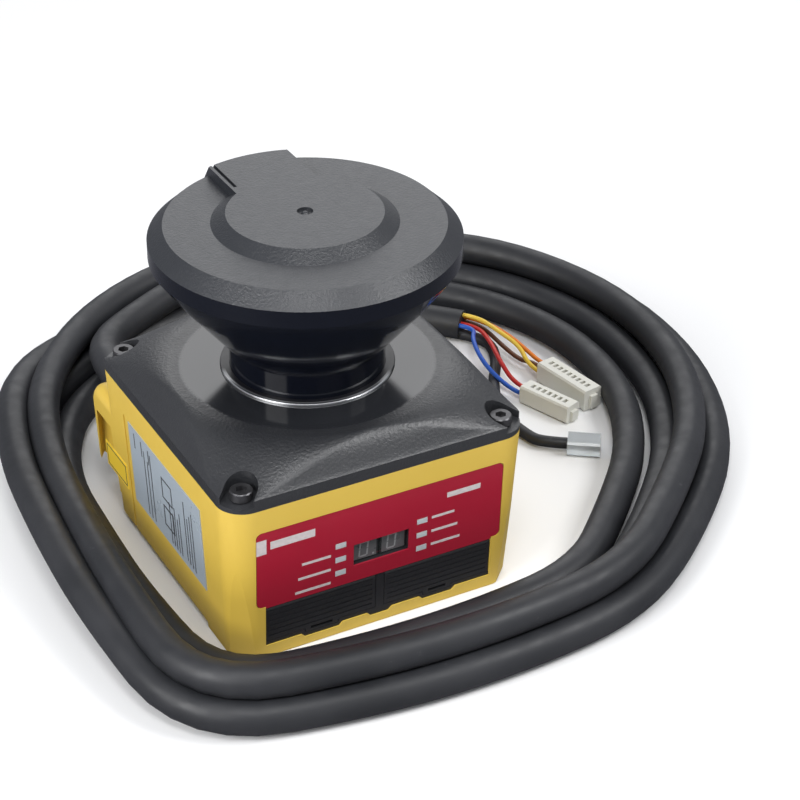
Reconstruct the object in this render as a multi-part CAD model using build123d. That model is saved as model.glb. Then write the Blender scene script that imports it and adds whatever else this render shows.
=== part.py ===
from build123d import *
import math
import os

# Compact safety laser scanner: a yellow tapered housing, a black cover and a mushroom-shaped
# scan head. Millimetres, +Z up. The origin is in the base plane under the scan axis, which is
# also the centre of the four mounting holes. The front panel looks along -Y.

# Housing
BODY_W = 80.0
BODY_D = 80.0
RIM_Z = 43.9
CORNER_R = 6.8
TAPER = 1.86
WALL = 2.4
FLOOR_T = 3.0
FOOT_D = 19.0
FOOT_H = 1.5
SCOOP_TOP = 26.0
SCOOP_IN = 0.9
GROOVE_Y = 24.0
GROOVE_TOP = 36.3
GROOVE_W = 1.0
GROOVE_IN = 0.5

# Rear bulge that holds the cable entry
BULGE_OUT = 9.0
BULGE_LOW = 8.0
BULGE_TOP = 33.5
BULGE_R = 6.0
BULGE_WALL = 3.0

# Mounting holes in the base, M5
MOUNT_IN_X = 12.0
MOUNT_IN_Y = 20.0
MOUNT_X = BODY_W - 2 * MOUNT_IN_X
MOUNT_Y = BODY_D - 2 * MOUNT_IN_Y
INSERT_R = 3.5
INSERT_BORE_R = 2.1
INSERT_L = 8.0
PAD_R = 5.5
PAD_H = 10.5
BOARD_POST_R = 3.0
MAIN_BOARD_Z = 16.0

# Top cover
COVER_EDGE = 3.2
PLATEAU_Z = 54.0
PLATEAU_R = 34.3
COVER_WALL = 2.4
SCREW_IN_X = 5.6
SCREW_IN_Y = 4.8
SCREW_X = BODY_W / 2 - SCREW_IN_X
SCREW_Y = BODY_D / 2 - SCREW_IN_Y
POST_R = 4.2
POCKET_R = 4.0
POCKET_FLOOR = 45.8
GASKET_W = 1.2
GASKET_T = 1.0

# Screws: M3 for the cover, M2 inside
M3_R = 1.5
M3_TAP_R = 1.25
M3_HEAD_R = 2.75
M3_HEAD_H = 2.2
M3_SOCKET = 2.5
COVER_SCREW_L = 8.0
M2_R = 1.0
M2_TAP_R = 0.8
M2_HEAD_R = 1.9
M2_HEAD_H = 1.3

# Optical window and its ring
NECK_R = 19.1
NECK_TOP = 60.8
SKIRT_R = 31.45
SKIRT_Z = 76.0
RIM_R = 37.5
RIM_LOW = 84.7
RIM_TOP = 89.0
WINDOW_T = 1.7
FLANGE_R = 21.0
FLANGE_T = 1.0
RING_R = 21.4
RING_T = 0.6
SEAL_MID = 19.3
SEAL_W = 1.0
SEAL_T = 0.6

# Cap
TOTAL_H = 95.0
CAP_FLAT_Z = 92.5
CAP_FLAT_R = 33.7
CAP_WALL = 1.9
FIELD_R = 18.8
FIELD_FOOT_R = 22.4
BAND_HALF = 10.6
BAND_END_R = 33.4
DIMPLE_R = 1.96
DIMPLE_IN = 0.7

# Head frame, motor and mirror
FRAME_FLANGE_R = 27.0
FRAME_FLANGE_T = 2.5
PILLAR_OUT_R = 17.2
PILLAR_T = 2.0
PILLAR_ANGLE = 80.0
CARRIER_Z = 78.6
CARRIER_T = 2.2
CARRIER_R = 27.0
SLEEVE_R = 6.0
SLEEVE_H = 7.6
BEARING_R = 4.5
BEARING_BORE_R = 1.5
BEARING_T = 3.0
SHAFT_R = 1.48
STATOR_R = 14.0
STATOR_T = 3.2
MAGNET_R = 15.6
MAGNET_T = 1.2
MAGNET_H = 4.0
CUP_WALL = 0.8
CUP_TOP_Z = 89.4
CUP_LOW_Z = 83.0
HUB_R = 9.5
HUB_T = 2.6
HUB_GAP = 0.8
DISC_R = 12.4
DISC_T = 0.6
DISC_SLOTS = 24
SENSOR_ANGLE = 30.0
STATOR_ARMS = 9
MIRROR_Z = 65.0
MIRROR_R = 8.8
MIRROR_T = 1.6
MIRROR_TILT = 45.0

# Lens barrel below the mirror
BARREL_R = 14.6
BARREL_WALL = 1.4
BARREL_FLANGE_R = 20.0
BARREL_FLANGE_T = 2.0
BARREL_LOW = 26.0
LENS_Z = 50.0
LENS_T = 3.2
LENS_CROWN = 1.6
LASER_R = 3.0
LASER_L = 12.0

# Front panel, in the plane of the tapered front face
PANEL_HALF = 33.1
PANEL_LOW = 15.2
PANEL_HIGH = 37.4
PANEL_T = 0.5
PANEL_R = 1.5
DISPLAY_HALF = 7.5
DISPLAY_LOW = 19.4
DISPLAY_HIGH = 25.7
DIGIT_IN = 1.4
BEZEL_W = 0.6
LIGHT_X = 10.96
LIGHT_H = (26.8, 22.7, 18.7)
LIGHT_W = 2.9
LIGHT_T = 1.6
BOARD_IN = 4.5
BOARD_T = 1.6
BOARD_HALF = BODY_W / 2 - 11.0
BOARD_BOSS_X = BODY_W / 2 - 16.0
BOARD_BOSSES = ((-BOARD_BOSS_X, 33.0), (BOARD_BOSS_X, 33.0))
BOARD_BOSS_R = 2.4

# Port opening, frame and covers
PORT_HALF = 30.7
PORT_LOW = 3.3
PORT_HIGH = 14.6
PORT_RIM = 1.0
RIB_HALF = 1.1
RIB_FOOT_HALF = 2.4
TABS = ((-15.65, 9.1), (16.05, 8.1))
TAB_DROP = 1.0
FACE_IN = 0.3
COVER_T = 1.8
COVER_GAP = 0.15
SWING_GAP = 0.2
PIN_R = 0.55
PIN_GAP = 0.07
PIN_L = 0.8
FRAME_DEPTH = 11.0
POCKET_BACK = 1.5
POCKET_DEPTH = FRAME_DEPTH - POCKET_BACK
POCKET_WALL = 1.0
RIDGES = 6
# Sockets behind the covers: place along the front, half width, height
SOCKETS = ((-15.65, 4.2, 3.9), (16.05, 5.0, 5.0))
SOCKET_H = 9.3
SOCKET_MOUTH = FRAME_DEPTH - 2.0

# Labels
LABEL_T = 0.2
LABEL_Y = (-22.7, 21.0)
LABEL_Z = (12.2, 36.0)
STICKER_Y = (26.0, 40.0)
STICKER_Z = (12.1, 19.6)

# Cable, its entry and its coil
CABLE_R = 4.4
GLAND_X = -BODY_W / 2 + 16.0
GLAND_Z = 18.5
GLAND_R = 8.0
GLAND_L = 14.0
GLAND_NOSE_R = 5.6
GLAND_COLLAR = 2.4
GLAND_RINGS = 4
COIL_X = 22.0
COIL_Y = 22.0
# Distance of the innermost strand from the coil's centre, every 22.5 degrees from +X
COIL_IN = (85, 92, 96, 94, 91, 90, 85, 77, 75, 83, 97, 84, 76, 75, 68, 76)
# How far the strands fan out there, as a share of lying side by side
COIL_FAN = (0.8, 1.0, 1.1, 0.9, 0.5, 0.3, 0.15, 0, 0, 0.1, 0.25, 0.25, 0.35, 0.55, 0.75, 0.8)
STACK_STEP = 9.6
FAN_STEP = 19.0
STACK_RISE = 8.6
STACK_IN = 0.0

# Centre lines of the cable's two ends
LEAD_START_Y = BODY_D / 2 + BULGE_OUT + GLAND_L
LEAD = (
    (GLAND_X, LEAD_START_Y, GLAND_Z),
    (GLAND_X, LEAD_START_Y + 13, GLAND_Z),
    (GLAND_X + 4, LEAD_START_Y + 27, GLAND_Z - 4),
    (GLAND_X + 15, LEAD_START_Y + 44, 3 * CABLE_R - 0.1),
)
TAIL_END = (85.0, 71.0, CABLE_R)
TAIL = (
    (-20, 90, CABLE_R + 0.2),
    (0, 97.5, CABLE_R),
    (22, 101, CABLE_R + 0.2),
    (44, 99, CABLE_R),
    (62, 91.5, CABLE_R + 0.1),
    (76, 81.0, CABLE_R),
    TAIL_END,
)
TAIL_DIR = (Vector(*TAIL_END) - Vector(*TAIL[-2])).normalized()

# White connectors: centre, heading in degrees, length, width, height, number of ways
CONNECTORS = {
    "connector_long": ((96.6, 30.0), -80.0, 20.0, 6.4, 6.4, 9),
    "connector_short": ((87.0, 25.0), -70.0, 17.0, 5.4, 5.4, 7),
}
PIN_PITCH = 1.9
WIRE_R = 0.65
SUB_R = 1.6
# Wire: place on the sheath's end (sideways, up), middle points, connector and place on its back
WIRES = {
    "wire_orange": ((2.1, 1.6), ((93.6, 58.5, 5.2), (95.2, 49, 3.6)), "connector_long", 1.9),
    "wire_brown": ((2.7, -0.4), ((91.2, 57, 2.4), (92.0, 48.6, 2.2)), "connector_long", 0.0),
    "wire_yellow": ((0.9, 2.9), ((89.4, 58.6, 8.0), (92.0, 49.6, 6.6)), "connector_long", -1.9),
    "wire_red": ((-0.9, 0.9), ((86.4, 57.5, 6.2), (83.6, 46.5, 5.4)), "connector_short", 1.5),
    "wire_blue": ((-2.6, 1.2), ((81.0, 58.4, 7.4), (78.6, 47.4, 5.6)), "connector_short", -1.5),
}
SUB_START = (-1.5, -2.3)
SUB_MIDDLE = ((87.2, 54.0, 1.8), (78.0, 41.0, 1.8), (72.5, 27.0, 1.7), (73.5, 13.0, 1.8))
PLUG_AT = (84.5, 2.5)
PLUG_TURN = -35.0
PLUG_SIZE = (9.0, 6.4, 4.4)

# Derived heights, and the play between pushed-in pieces
FLOOR_TOP = FOOT_H + FLOOR_T
EDGE_Z = RIM_Z + COVER_EDGE
HINGE_H = PORT_HIGH - SWING_GAP - COVER_T / 2
HINGE_IN = FACE_IN + COVER_T / 2
HUB_TOP = CARRIER_Z - HUB_GAP
HUB_LOW = HUB_TOP - HUB_T
SEAT = 0.02

UP = (Align.CENTER, Align.CENTER, Align.MIN)
DOWN = (Align.CENTER, Align.CENTER, Align.MAX)


def body_size(z, full=BODY_W):
    """Outside width of the tapered housing at height z."""
    return full - 2 * TAPER * (1 - z / RIM_Z)


def rounded(width, depth, radius, z):
    return Plane.XY.offset(z) * RectangleRounded(width, depth, radius)


def tube(outer, inner, low, high):
    ring = Cylinder(outer, high - low, align=UP)
    ring -= Cylinder(inner, high - low, align=UP)
    return Pos(0, 0, low) * ring


def rod(radius, low, high):
    return Pos(0, 0, low) * Cylinder(radius, high - low, align=UP)


def block(x, y, z):
    """Box from three (low, high) pairs."""
    centre = Pos((x[0] + x[1]) / 2, (y[0] + y[1]) / 2, (z[0] + z[1]) / 2)
    return centre * Box(x[1] - x[0], y[1] - y[0], z[1] - z[0])


def turned(points):
    """Solid of revolution about Z from its (radius, z) outline."""
    outline = Plane.XZ * make_face(Polyline(*points, close=True))
    return revolve(outline, Axis.Z)


def four(x, y):
    return [(sx * x, sy * y) for sx in (-1, 1) for sy in (-1, 1)]


# The plane of the front face: local x is +X, local y runs up the face, local z points out.
FRONT = Plane(
    origin=(0, -BODY_D / 2 + TAPER, 0),
    x_dir=(1, 0, 0),
    z_dir=(0, -RIM_Z, -TAPER),
)
# The plane of the left face: local x is -Y, local y runs up the face, local z points out.
LEFT = Plane(
    origin=(-BODY_W / 2 + TAPER, 0, 0),
    x_dir=(0, -1, 0),
    z_dir=(-RIM_Z, 0, -TAPER),
)


def on_front(x, h, depth):
    """Box on the front plane from (low, high) pairs; depth is counted inwards."""
    return FRONT * block(x, h, (-depth[1], -depth[0]))


def housing_outer():
    low = rounded(body_size(0), body_size(0, BODY_D), CORNER_R, 0)
    high = rounded(BODY_W, BODY_D, CORNER_R, RIM_Z)
    return loft([low, high], ruled=True)


def housing_cavity():
    low_w = body_size(FLOOR_TOP) - 2 * WALL
    low_d = body_size(FLOOR_TOP, BODY_D) - 2 * WALL
    in_low = rounded(low_w, low_d, CORNER_R - WALL, FLOOR_TOP)
    in_high = rounded(BODY_W - 2 * WALL, BODY_D - 2 * WALL, CORNER_R - WALL, RIM_Z)
    return loft([in_low, in_high], ruled=True)


def rear_bulge():
    rear = BODY_D / 2
    start = rear - CORNER_R - WALL
    points = [
        (start, BULGE_LOW - 1.0),
        (rear + 1.5, BULGE_LOW - 1.0),
        (rear + BULGE_OUT, BULGE_LOW + 5.0),
        (rear + BULGE_OUT, BULGE_TOP),
        (start, BULGE_TOP),
    ]
    face = make_face(Polyline(*points, close=True))
    top = face.vertices().sort_by(Axis.Y)[-2:].sort_by(Axis.X)[-1]
    face = fillet(top, BULGE_R)
    solid = extrude(Plane.YZ * face, amount=BODY_W / 2, both=True)
    deep = BODY_D + 4 * BULGE_OUT
    sides = loft(
        [
            Plane.XY * Rectangle(body_size(0), deep),
            Plane.XY.offset(RIM_Z) * Rectangle(BODY_W, deep),
        ],
        ruled=True,
    )
    solid &= sides
    ends = solid.faces().sort_by(Axis.Y)[-1].edges().filter_by(Plane.XZ)
    upright = [e for e in ends if abs(e.tangent_at(0.5).Z) > 0.9]
    return fillet(upright, BULGE_R / 2)


def corner_scoops():
    """Flat cuts that lean out from the base up to where each upright corner starts."""
    cuts = []
    half_low = body_size(0) / 2 - CORNER_R
    half_top = body_size(SCOOP_TOP) / 2 - CORNER_R
    low = half_low * math.sqrt(2) + CORNER_R - SCOOP_IN
    top = half_top * math.sqrt(2) + CORNER_R
    lean = (top - low) / SCOOP_TOP
    points = [(low - lean, -1), (top, SCOOP_TOP), (top + CORNER_R, SCOOP_TOP), (top + CORNER_R, -1)]
    wedge = extrude(Plane.XZ * make_face(Polyline(*points, close=True)), amount=CORNER_R, both=True)
    for turn in (45, 135, 225, 315):
        cuts.append(Rot(0, 0, turn) * wedge)
    return cuts


def port_outline():
    """Outline of the port opening, with the drops under the finger tabs and the rib."""
    shape = Pos(0, (PORT_LOW + PORT_HIGH) / 2) * Rectangle(2 * PORT_HALF, PORT_HIGH - PORT_LOW)
    for x, width in (*TABS, (0, 2 * RIB_FOOT_HALF)):
        shape += tab_outline(x, width + 2 * TAB_DROP, PORT_LOW)
    return shape


def tab_outline(x, width, low):
    half = width / 2
    points = [
        (x - half, low + TAB_DROP),
        (x - half, low),
        (x - half + TAB_DROP, low - TAB_DROP),
        (x + half - TAB_DROP, low - TAB_DROP),
        (x + half, low),
        (x + half, low + TAB_DROP),
    ]
    return make_face(Polyline(*points, close=True))


def panel_outline(gap=0.0):
    main = Pos(0, (PANEL_LOW + PANEL_HIGH) / 2) * RectangleRounded(
        2 * (PANEL_HALF - gap), PANEL_HIGH - PANEL_LOW - 2 * gap, PANEL_R
    )
    strip_top = PANEL_LOW + 2 * PANEL_R
    strip_low = PORT_HIGH + gap
    strip = Pos(0, (strip_low + strip_top) / 2) * Rectangle(2 * (PORT_HALF - gap), strip_top - strip_low)
    return main + strip


def display_hole(depth):
    return on_front((-DISPLAY_HALF, DISPLAY_HALF), (DISPLAY_LOW, DISPLAY_HIGH), (-1, depth))


def bezel_block(grow, depth):
    wide, low, high = DISPLAY_HALF + grow, DISPLAY_LOW - grow, DISPLAY_HIGH + grow
    return on_front((-wide, wide), (low, high), depth)


def display_bezel():
    """Dark frame round the digits, behind the panel sheet."""
    frame = bezel_block(BEZEL_W - 0.02, (PANEL_T, BOARD_IN))
    return frame - bezel_block(0, (0, BOARD_IN + 1))


def light_places():
    return [(side * LIGHT_X, h) for side in (-1, 1) for h in LIGHT_H]


def light_blocks(gap, depth):
    blocks = []
    for x, h in light_places():
        half_w = LIGHT_W / 2 - gap
        half_h = LIGHT_T / 2 - gap
        blocks.append(on_front((x - half_w, x + half_w), (h - half_h, h + half_h), depth))
    return blocks


def hinge_rod(radius, start, end):
    """Rod along X on the hinge line of the port covers, between two x values."""
    bar = Cylinder(radius, end - start, align=UP)
    return FRONT * (Pos(start, HINGE_H, -HINGE_IN) * (Rot(0, 90, 0) * bar))


def housing():
    outer = housing_outer()
    bulge = rear_bulge()
    solid = outer + bulge
    cavity = housing_cavity()
    for x, y in four(SCREW_X, SCREW_Y):
        cavity -= Pos(x, y) * rod(POST_R, 0, RIM_Z)
    solid -= cavity
    for x, y in four(MOUNT_X / 2, MOUNT_Y / 2):
        solid += Pos(x, y) * rod(PAD_R, FLOOR_TOP - 1, PAD_H)
        solid += Pos(x, y) * rod(BOARD_POST_R, PAD_H - 1, MAIN_BOARD_Z)
    under = block((-BODY_W, BODY_W), (-BODY_D / 2 + FOOT_D, BODY_D), (-1, FOOT_H))
    for x, y in four(MOUNT_X / 2, MOUNT_Y / 2):
        under -= Pos(x, y) * rod(PAD_R, -2, FOOT_H + 1)
    solid -= under
    for cut in corner_scoops():
        solid -= cut
    for x, y in four(MOUNT_X / 2, MOUNT_Y / 2):
        solid -= Pos(x, y) * rod(INSERT_R, -1, INSERT_L)
        solid -= Pos(x, y) * rod(M2_TAP_R, MAIN_BOARD_Z - 5, MAIN_BOARD_Z + 1)
    for x, y in four(SCREW_X, SCREW_Y):
        solid -= Pos(x, y) * rod(M3_TAP_R, RIM_Z - 12, RIM_Z + 1)
    rear = BODY_D / 2
    chamber_x = body_size(0) / 2 - 2 * BULGE_WALL
    solid -= block(
        (-chamber_x, chamber_x),
        (rear - 2 * WALL, rear + BULGE_OUT - BULGE_WALL),
        (BULGE_LOW + BULGE_WALL, BULGE_TOP - BULGE_WALL),
    )
    nose = Rot(90, 0, 0) * Cylinder(GLAND_NOSE_R, 4 * BULGE_WALL)
    solid -= Pos(GLAND_X, rear + BULGE_OUT, GLAND_Z) * nose
    solid -= gasket_ring(0)
    solid -= FRONT * extrude(port_outline(), amount=-FRAME_DEPTH)
    solid -= FRONT * Pos(0, 0, 1) * extrude(port_outline(), amount=-2)
    solid -= FRONT * extrude(panel_outline(), amount=-PANEL_T)
    solid -= FRONT * Pos(0, 0, 1) * extrude(panel_outline(), amount=-1)
    solid -= bezel_block(BEZEL_W, (0, 2 * WALL))
    for hole in light_blocks(0, (-1, 2 * WALL)):
        solid -= hole
    for side in (-1, 1):
        ends = sorted((side * (PORT_HALF - 0.1), side * (PORT_HALF + PIN_L + 0.2)))
        solid -= hinge_rod(PIN_R + PIN_GAP, *ends)
    for x, h in BOARD_BOSSES:
        boss = Cylinder(BOARD_BOSS_R, BOARD_IN - PANEL_T - 0.5, align=UP)
        boss -= Cylinder(M2_TAP_R, 2.5, align=UP)
        solid += FRONT * (Pos(x, h, -BOARD_IN) * boss)
    groove_x = (-GROOVE_Y - GROOVE_W / 2, -GROOVE_Y + GROOVE_W / 2)
    solid -= LEFT * block(groove_x, (-1, GROOVE_TOP), (-GROOVE_IN, 1))
    return solid


def gasket_ring(gap):
    """The square-section ring let into the housing's rim."""
    inset = (WALL - GASKET_W) / 2 + gap
    outer = rounded(BODY_W - 2 * inset, BODY_D - 2 * inset, CORNER_R - inset, RIM_Z - GASKET_T)
    inner_inset = inset + GASKET_W - 2 * gap
    inner = rounded(
        BODY_W - 2 * inner_inset, BODY_D - 2 * inner_inset, CORNER_R - inner_inset, RIM_Z - GASKET_T
    )
    return extrude(outer - inner, amount=GASKET_T)


def mounting_inserts():
    insert = tube(INSERT_R, INSERT_BORE_R, 0, INSERT_L)
    return [Pos(x, y) * insert for x, y in four(MOUNT_X / 2, MOUNT_Y / 2)]


def cover_loft(inset, drop, low):
    """The cover's domed form: a rounded square that turns into a circle as it rises."""
    rise = PLATEAU_Z - EDGE_Z
    steps = ((0.0, 0.0, CORNER_R), (0.28, 0.23, 16.0), (0.74, 0.58, 26.0), (1.0, 1.0, 0.0))
    sections = []
    for up, inwards, radius in steps:
        half_w = BODY_W / 2 - inwards * (BODY_W / 2 - PLATEAU_R) - inset
        half_d = BODY_D / 2 - inwards * (BODY_D / 2 - PLATEAU_R) - inset
        corner = half_w - 0.1 if up == 1.0 else radius - inset
        sections.append(rounded(2 * half_w, 2 * half_d, corner, EDGE_Z + up * rise - drop))
    dome = loft(sections)
    foot = rounded(BODY_W - 2 * inset, BODY_D - 2 * inset, CORNER_R - inset, low)
    base = extrude(foot, amount=EDGE_Z - drop - low)
    return dome + base


def screw_pocket(x, y):
    """Round seat for a screw head, open towards the cover's corner."""
    seat = Pos(x, y) * rod(POCKET_R, POCKET_FLOOR, PLATEAU_Z)
    away = Vector(x, y).normalized()
    turn = math.degrees(math.atan2(away.Y, away.X))
    deep = PLATEAU_Z - POCKET_FLOOR
    way = Box(2 * CORNER_R, 2 * POCKET_R, deep, align=(Align.MIN, Align.CENTER, Align.MIN))
    tilt = Rot(0, 8, 0)
    return seat + Pos(x, y, POCKET_FLOOR) * (Rot(0, 0, turn) * (tilt * way))


def top_cover():
    solid = cover_loft(0, 0, RIM_Z)
    cavity = cover_loft(COVER_WALL, COVER_WALL, RIM_Z - 1)
    for x, y in four(SCREW_X, SCREW_Y):
        cavity -= Pos(x, y) * rod(POST_R + 1.2, 0, PLATEAU_Z)
    solid -= cavity
    for x, y in four(SCREW_X, SCREW_Y):
        solid -= screw_pocket(x, y)
        solid -= Pos(x, y) * rod(M3_R + 0.2, RIM_Z - 1, PLATEAU_Z)
    solid -= rod(PILLAR_OUT_R + 0.4, RIM_Z, PLATEAU_Z + 1)
    solid -= rod(RING_R + 0.1, PLATEAU_Z - FLANGE_T, PLATEAU_Z + 1)
    solid -= seal_ring(PLATEAU_Z)
    for x, y in frame_screw_places():
        solid -= Pos(x, y) * rod(M2_TAP_R, PLATEAU_Z - COVER_WALL - 1, PLATEAU_Z - 0.8)
    return solid


def seal_ring(top):
    low = PLATEAU_Z - FLANGE_T - SEAL_T
    return tube(SEAL_MID + SEAL_W / 2, SEAL_MID - SEAL_W / 2, low, top)


def socket_screw(radius, length, head_r, head_h, socket):
    """Socket head screw standing on z = 0, its shank below."""
    shank = rod(radius, -length, 0)
    head = rod(head_r, 0, head_h)
    head = chamfer(head.edges().sort_by(Axis.Z)[-1], head_h * 0.12)
    key = extrude(RegularPolygon(socket / 2, 6, major_radius=False), amount=head_h * 0.6)
    return shank + head - Pos(0, 0, head_h * 0.45) * key


def cover_screws():
    screw = socket_screw(M3_TAP_R, COVER_SCREW_L, M3_HEAD_R, M3_HEAD_H, M3_SOCKET)
    return [Pos(x, y, POCKET_FLOOR) * screw for x, y in four(SCREW_X, SCREW_Y)]


def optical_window():
    foot = PLATEAU_Z - FLANGE_T
    inner = [
        (RIM_R - WINDOW_T, RIM_TOP),
        (RIM_R - WINDOW_T, RIM_LOW + 0.5),
        (SKIRT_R - WINDOW_T, SKIRT_Z + 0.7),
        (NECK_R - WINDOW_T, NECK_TOP + 0.7),
        (NECK_R - WINDOW_T, foot),
    ]
    outer = [
        (FLANGE_R, foot),
        (FLANGE_R, PLATEAU_Z),
        (NECK_R, PLATEAU_Z),
        (NECK_R, NECK_TOP),
        (SKIRT_R, SKIRT_Z),
        (RIM_R, RIM_LOW),
        (RIM_R, RIM_TOP),
    ]
    return turned(inner + outer)


def window_ring():
    ring = tube(RING_R, NECK_R + 0.05, PLATEAU_Z, PLATEAU_Z + RING_T)
    outer_top = ring.edges().filter_by(GeomType.CIRCLE).sort_by(Axis.Z)[-2:].sort_by(SortBy.RADIUS)[-1]
    return fillet(outer_top, RING_T * 0.35)


def head_cap():
    spigot_low = RIM_TOP - 2.5
    spigot_r = RIM_R - WINDOW_T - SEAT
    outline = [
        (0, RIM_TOP),
        (0, CAP_FLAT_Z),
        (CAP_FLAT_R, CAP_FLAT_Z),
        (RIM_R, RIM_TOP),
        (spigot_r, RIM_TOP),
        (spigot_r, spigot_low),
        (spigot_r - CAP_WALL, spigot_low),
        (spigot_r - CAP_WALL, RIM_TOP),
    ]
    solid = turned(outline)
    solid += cap_field()
    inner_r = spigot_r - CAP_WALL
    solid -= rod(inner_r, RIM_TOP - 5, CAP_FLAT_Z - CAP_WALL)
    solid -= rod(FIELD_R - CAP_WALL, RIM_TOP, TOTAL_H - CAP_WALL)
    bowl = rod(DIMPLE_R, TOTAL_H - DIMPLE_IN, TOTAL_H + 1)
    dome_r = DIMPLE_R * 0.6
    dome = Pos(0, 0, TOTAL_H - DIMPLE_IN - dome_r * 0.5) * Sphere(dome_r)
    solid -= bowl
    return solid + dome


def cap_field():
    """The raised keyhole: a round field with a sloping edge and a band to the rear rim."""
    foot = RIM_TOP + 1
    outline = [(0, foot), (0, TOTAL_H), (FIELD_R, TOTAL_H), (FIELD_FOOT_R, CAP_FLAT_Z), (FIELD_FOOT_R, foot)]
    field = turned(outline)
    band = block((-BAND_HALF, BAND_HALF), (0, RIM_R), (RIM_TOP, TOTAL_H))
    groove_x = (-BAND_HALF + 0.8, -BAND_HALF + 1.7)
    band -= block(groove_x, (FIELD_R, RIM_R + 1), (TOTAL_H - 0.7, TOTAL_H + 1))
    limit = turned([(0, RIM_TOP), (0, TOTAL_H), (BAND_END_R, TOTAL_H), (RIM_R, RIM_TOP)])
    return field + (band & limit)


def frame_screw_places():
    reach = (FRAME_FLANGE_R + BARREL_FLANGE_R) / 2
    turns = [math.radians(a) for a in (-150, -30, 90)]
    return [(reach * math.cos(a), reach * math.sin(a)) for a in turns]


def head_frame():
    """Flange under the cover, a pillar behind the mirror and the round motor carrier."""
    top = PLATEAU_Z - COVER_WALL
    solid = tube(FRAME_FLANGE_R, PILLAR_OUT_R - PILLAR_T, top - FRAME_FLANGE_T, top)
    pillar = tube(PILLAR_OUT_R, PILLAR_OUT_R - PILLAR_T, top - FRAME_FLANGE_T, CARRIER_Z + CARRIER_T)
    reach = 2 * PILLAR_OUT_R
    half = math.radians(PILLAR_ANGLE / 2)
    x, y = reach * math.sin(half), reach * math.cos(half)
    wedge = make_face(Polyline((0, 0), (x, y), (-x, y), close=True))
    pillar &= extrude(wedge, amount=TOTAL_H)
    solid += pillar
    carrier = tube(CARRIER_R, BEARING_R, CARRIER_Z, CARRIER_Z + CARRIER_T)
    carrier += tube(SLEEVE_R, BEARING_R, CARRIER_Z, CARRIER_Z + SLEEVE_H)
    carrier -= Pos(0, 0, CARRIER_Z) * Cylinder(
        BEARING_R + 0.6, CARRIER_T - 1.2, align=UP
    )
    solid += carrier
    for x, y in frame_screw_places():
        solid -= Pos(x, y) * rod(M2_R + 0.15, top - FRAME_FLANGE_T - 1, top + 1)
    return solid


def frame_screws():
    top = PLATEAU_Z - COVER_WALL - FRAME_FLANGE_T
    screw = Rot(180, 0, 0) * (rod(M2_TAP_R, -FRAME_FLANGE_T - 1.2, 0) + rod(M2_HEAD_R, 0, M2_HEAD_H))
    return [Pos(x, y, top) * screw for x, y in frame_screw_places()]


def motor_bearings():
    ring = tube(BEARING_R - SEAT, BEARING_BORE_R, 0, BEARING_T)
    low = CARRIER_Z + CARRIER_T - 1.2
    high = CARRIER_Z + SLEEVE_H - BEARING_T
    return [Pos(0, 0, low) * ring, Pos(0, 0, high) * ring]


def motor_stator():
    """Laminated core with nine wound arms, pushed over the bearing sleeve."""
    low = CUP_LOW_Z + 0.9
    core = tube(SLEEVE_R + 2, SLEEVE_R + 0.02, low, low + STATOR_T)
    for i in range(STATOR_ARMS):
        arm = block((SLEEVE_R + 1, STATOR_R - 1), (-1.1, 1.1), (low, low + STATOR_T))
        shoe = tube(STATOR_R, STATOR_R - 1.6, low, low + STATOR_T) & block(
            (0, STATOR_R + 1), (-3.2, 3.2), (low, low + STATOR_T)
        )
        core += Rot(0, 0, 360 / STATOR_ARMS * i) * (arm + shoe)
    return core


def motor_board():
    return tube(STATOR_R + 2.5, SLEEVE_R + 0.02, CARRIER_Z + CARRIER_T, CARRIER_Z + CARRIER_T + 0.8)


def motor_shaft():
    return rod(SHAFT_R, HUB_LOW + 0.5, CUP_TOP_Z)


def rotor_cup():
    outer_r = MAGNET_R + CUP_WALL
    cup = rod(outer_r, CUP_LOW_Z, CUP_TOP_Z) - rod(MAGNET_R, CUP_LOW_Z - 1, CUP_TOP_Z - CUP_WALL)
    cup += tube(SHAFT_R + 1.6, SHAFT_R, CUP_TOP_Z - CUP_WALL - 0.6, CUP_TOP_Z)
    return cup - rod(SHAFT_R, CUP_LOW_Z, CUP_TOP_Z + 1)


def rotor_magnet():
    return tube(MAGNET_R, MAGNET_R - MAGNET_T, CUP_LOW_Z, CUP_LOW_Z + MAGNET_H)


def encoder_disc():
    disc = tube(DISC_R, SHAFT_R + 2.4, HUB_TOP - DISC_T, HUB_TOP)
    for i in range(DISC_SLOTS):
        slot = block((DISC_R - 2.2, DISC_R - 0.8), (-0.5, 0.5), (HUB_TOP - 2, HUB_TOP + 1))
        disc -= Rot(0, 0, 360 / DISC_SLOTS * i) * slot
    return disc


def mirror_hub():
    """Turned hub with a wedge below it; the mirror is glued to the wedge's slope."""
    hub = rod(HUB_R, HUB_LOW, HUB_TOP - DISC_T) + rod(SHAFT_R + 2.35, HUB_LOW, HUB_TOP)
    back = MIRROR_T / math.cos(math.radians(MIRROR_TILT))
    top_y = MIRROR_Z + back - HUB_LOW
    top = HUB_LOW + 0.5
    slope = [(HUB_R, MIRROR_Z - HUB_R + back), (top_y, HUB_LOW), (top_y, top), (HUB_R, top)]
    wedge = extrude(Plane.YZ * make_face(Polyline(*slope, close=True)), amount=HUB_R, both=True)
    hub += wedge & rod(HUB_R, MIRROR_Z - HUB_R, HUB_LOW + 0.5)
    return hub - rod(SHAFT_R, HUB_LOW + 0.5, HUB_TOP + 1)


def scan_mirror():
    """Oval plate whose lower face turns the upright beam to the front."""
    plate = extrude(Ellipse(MIRROR_R, MIRROR_R * math.sqrt(2)), amount=MIRROR_T)
    return Pos(0, 0, MIRROR_Z) * (Rot(-MIRROR_TILT, 0, 0) * plate)


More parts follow.
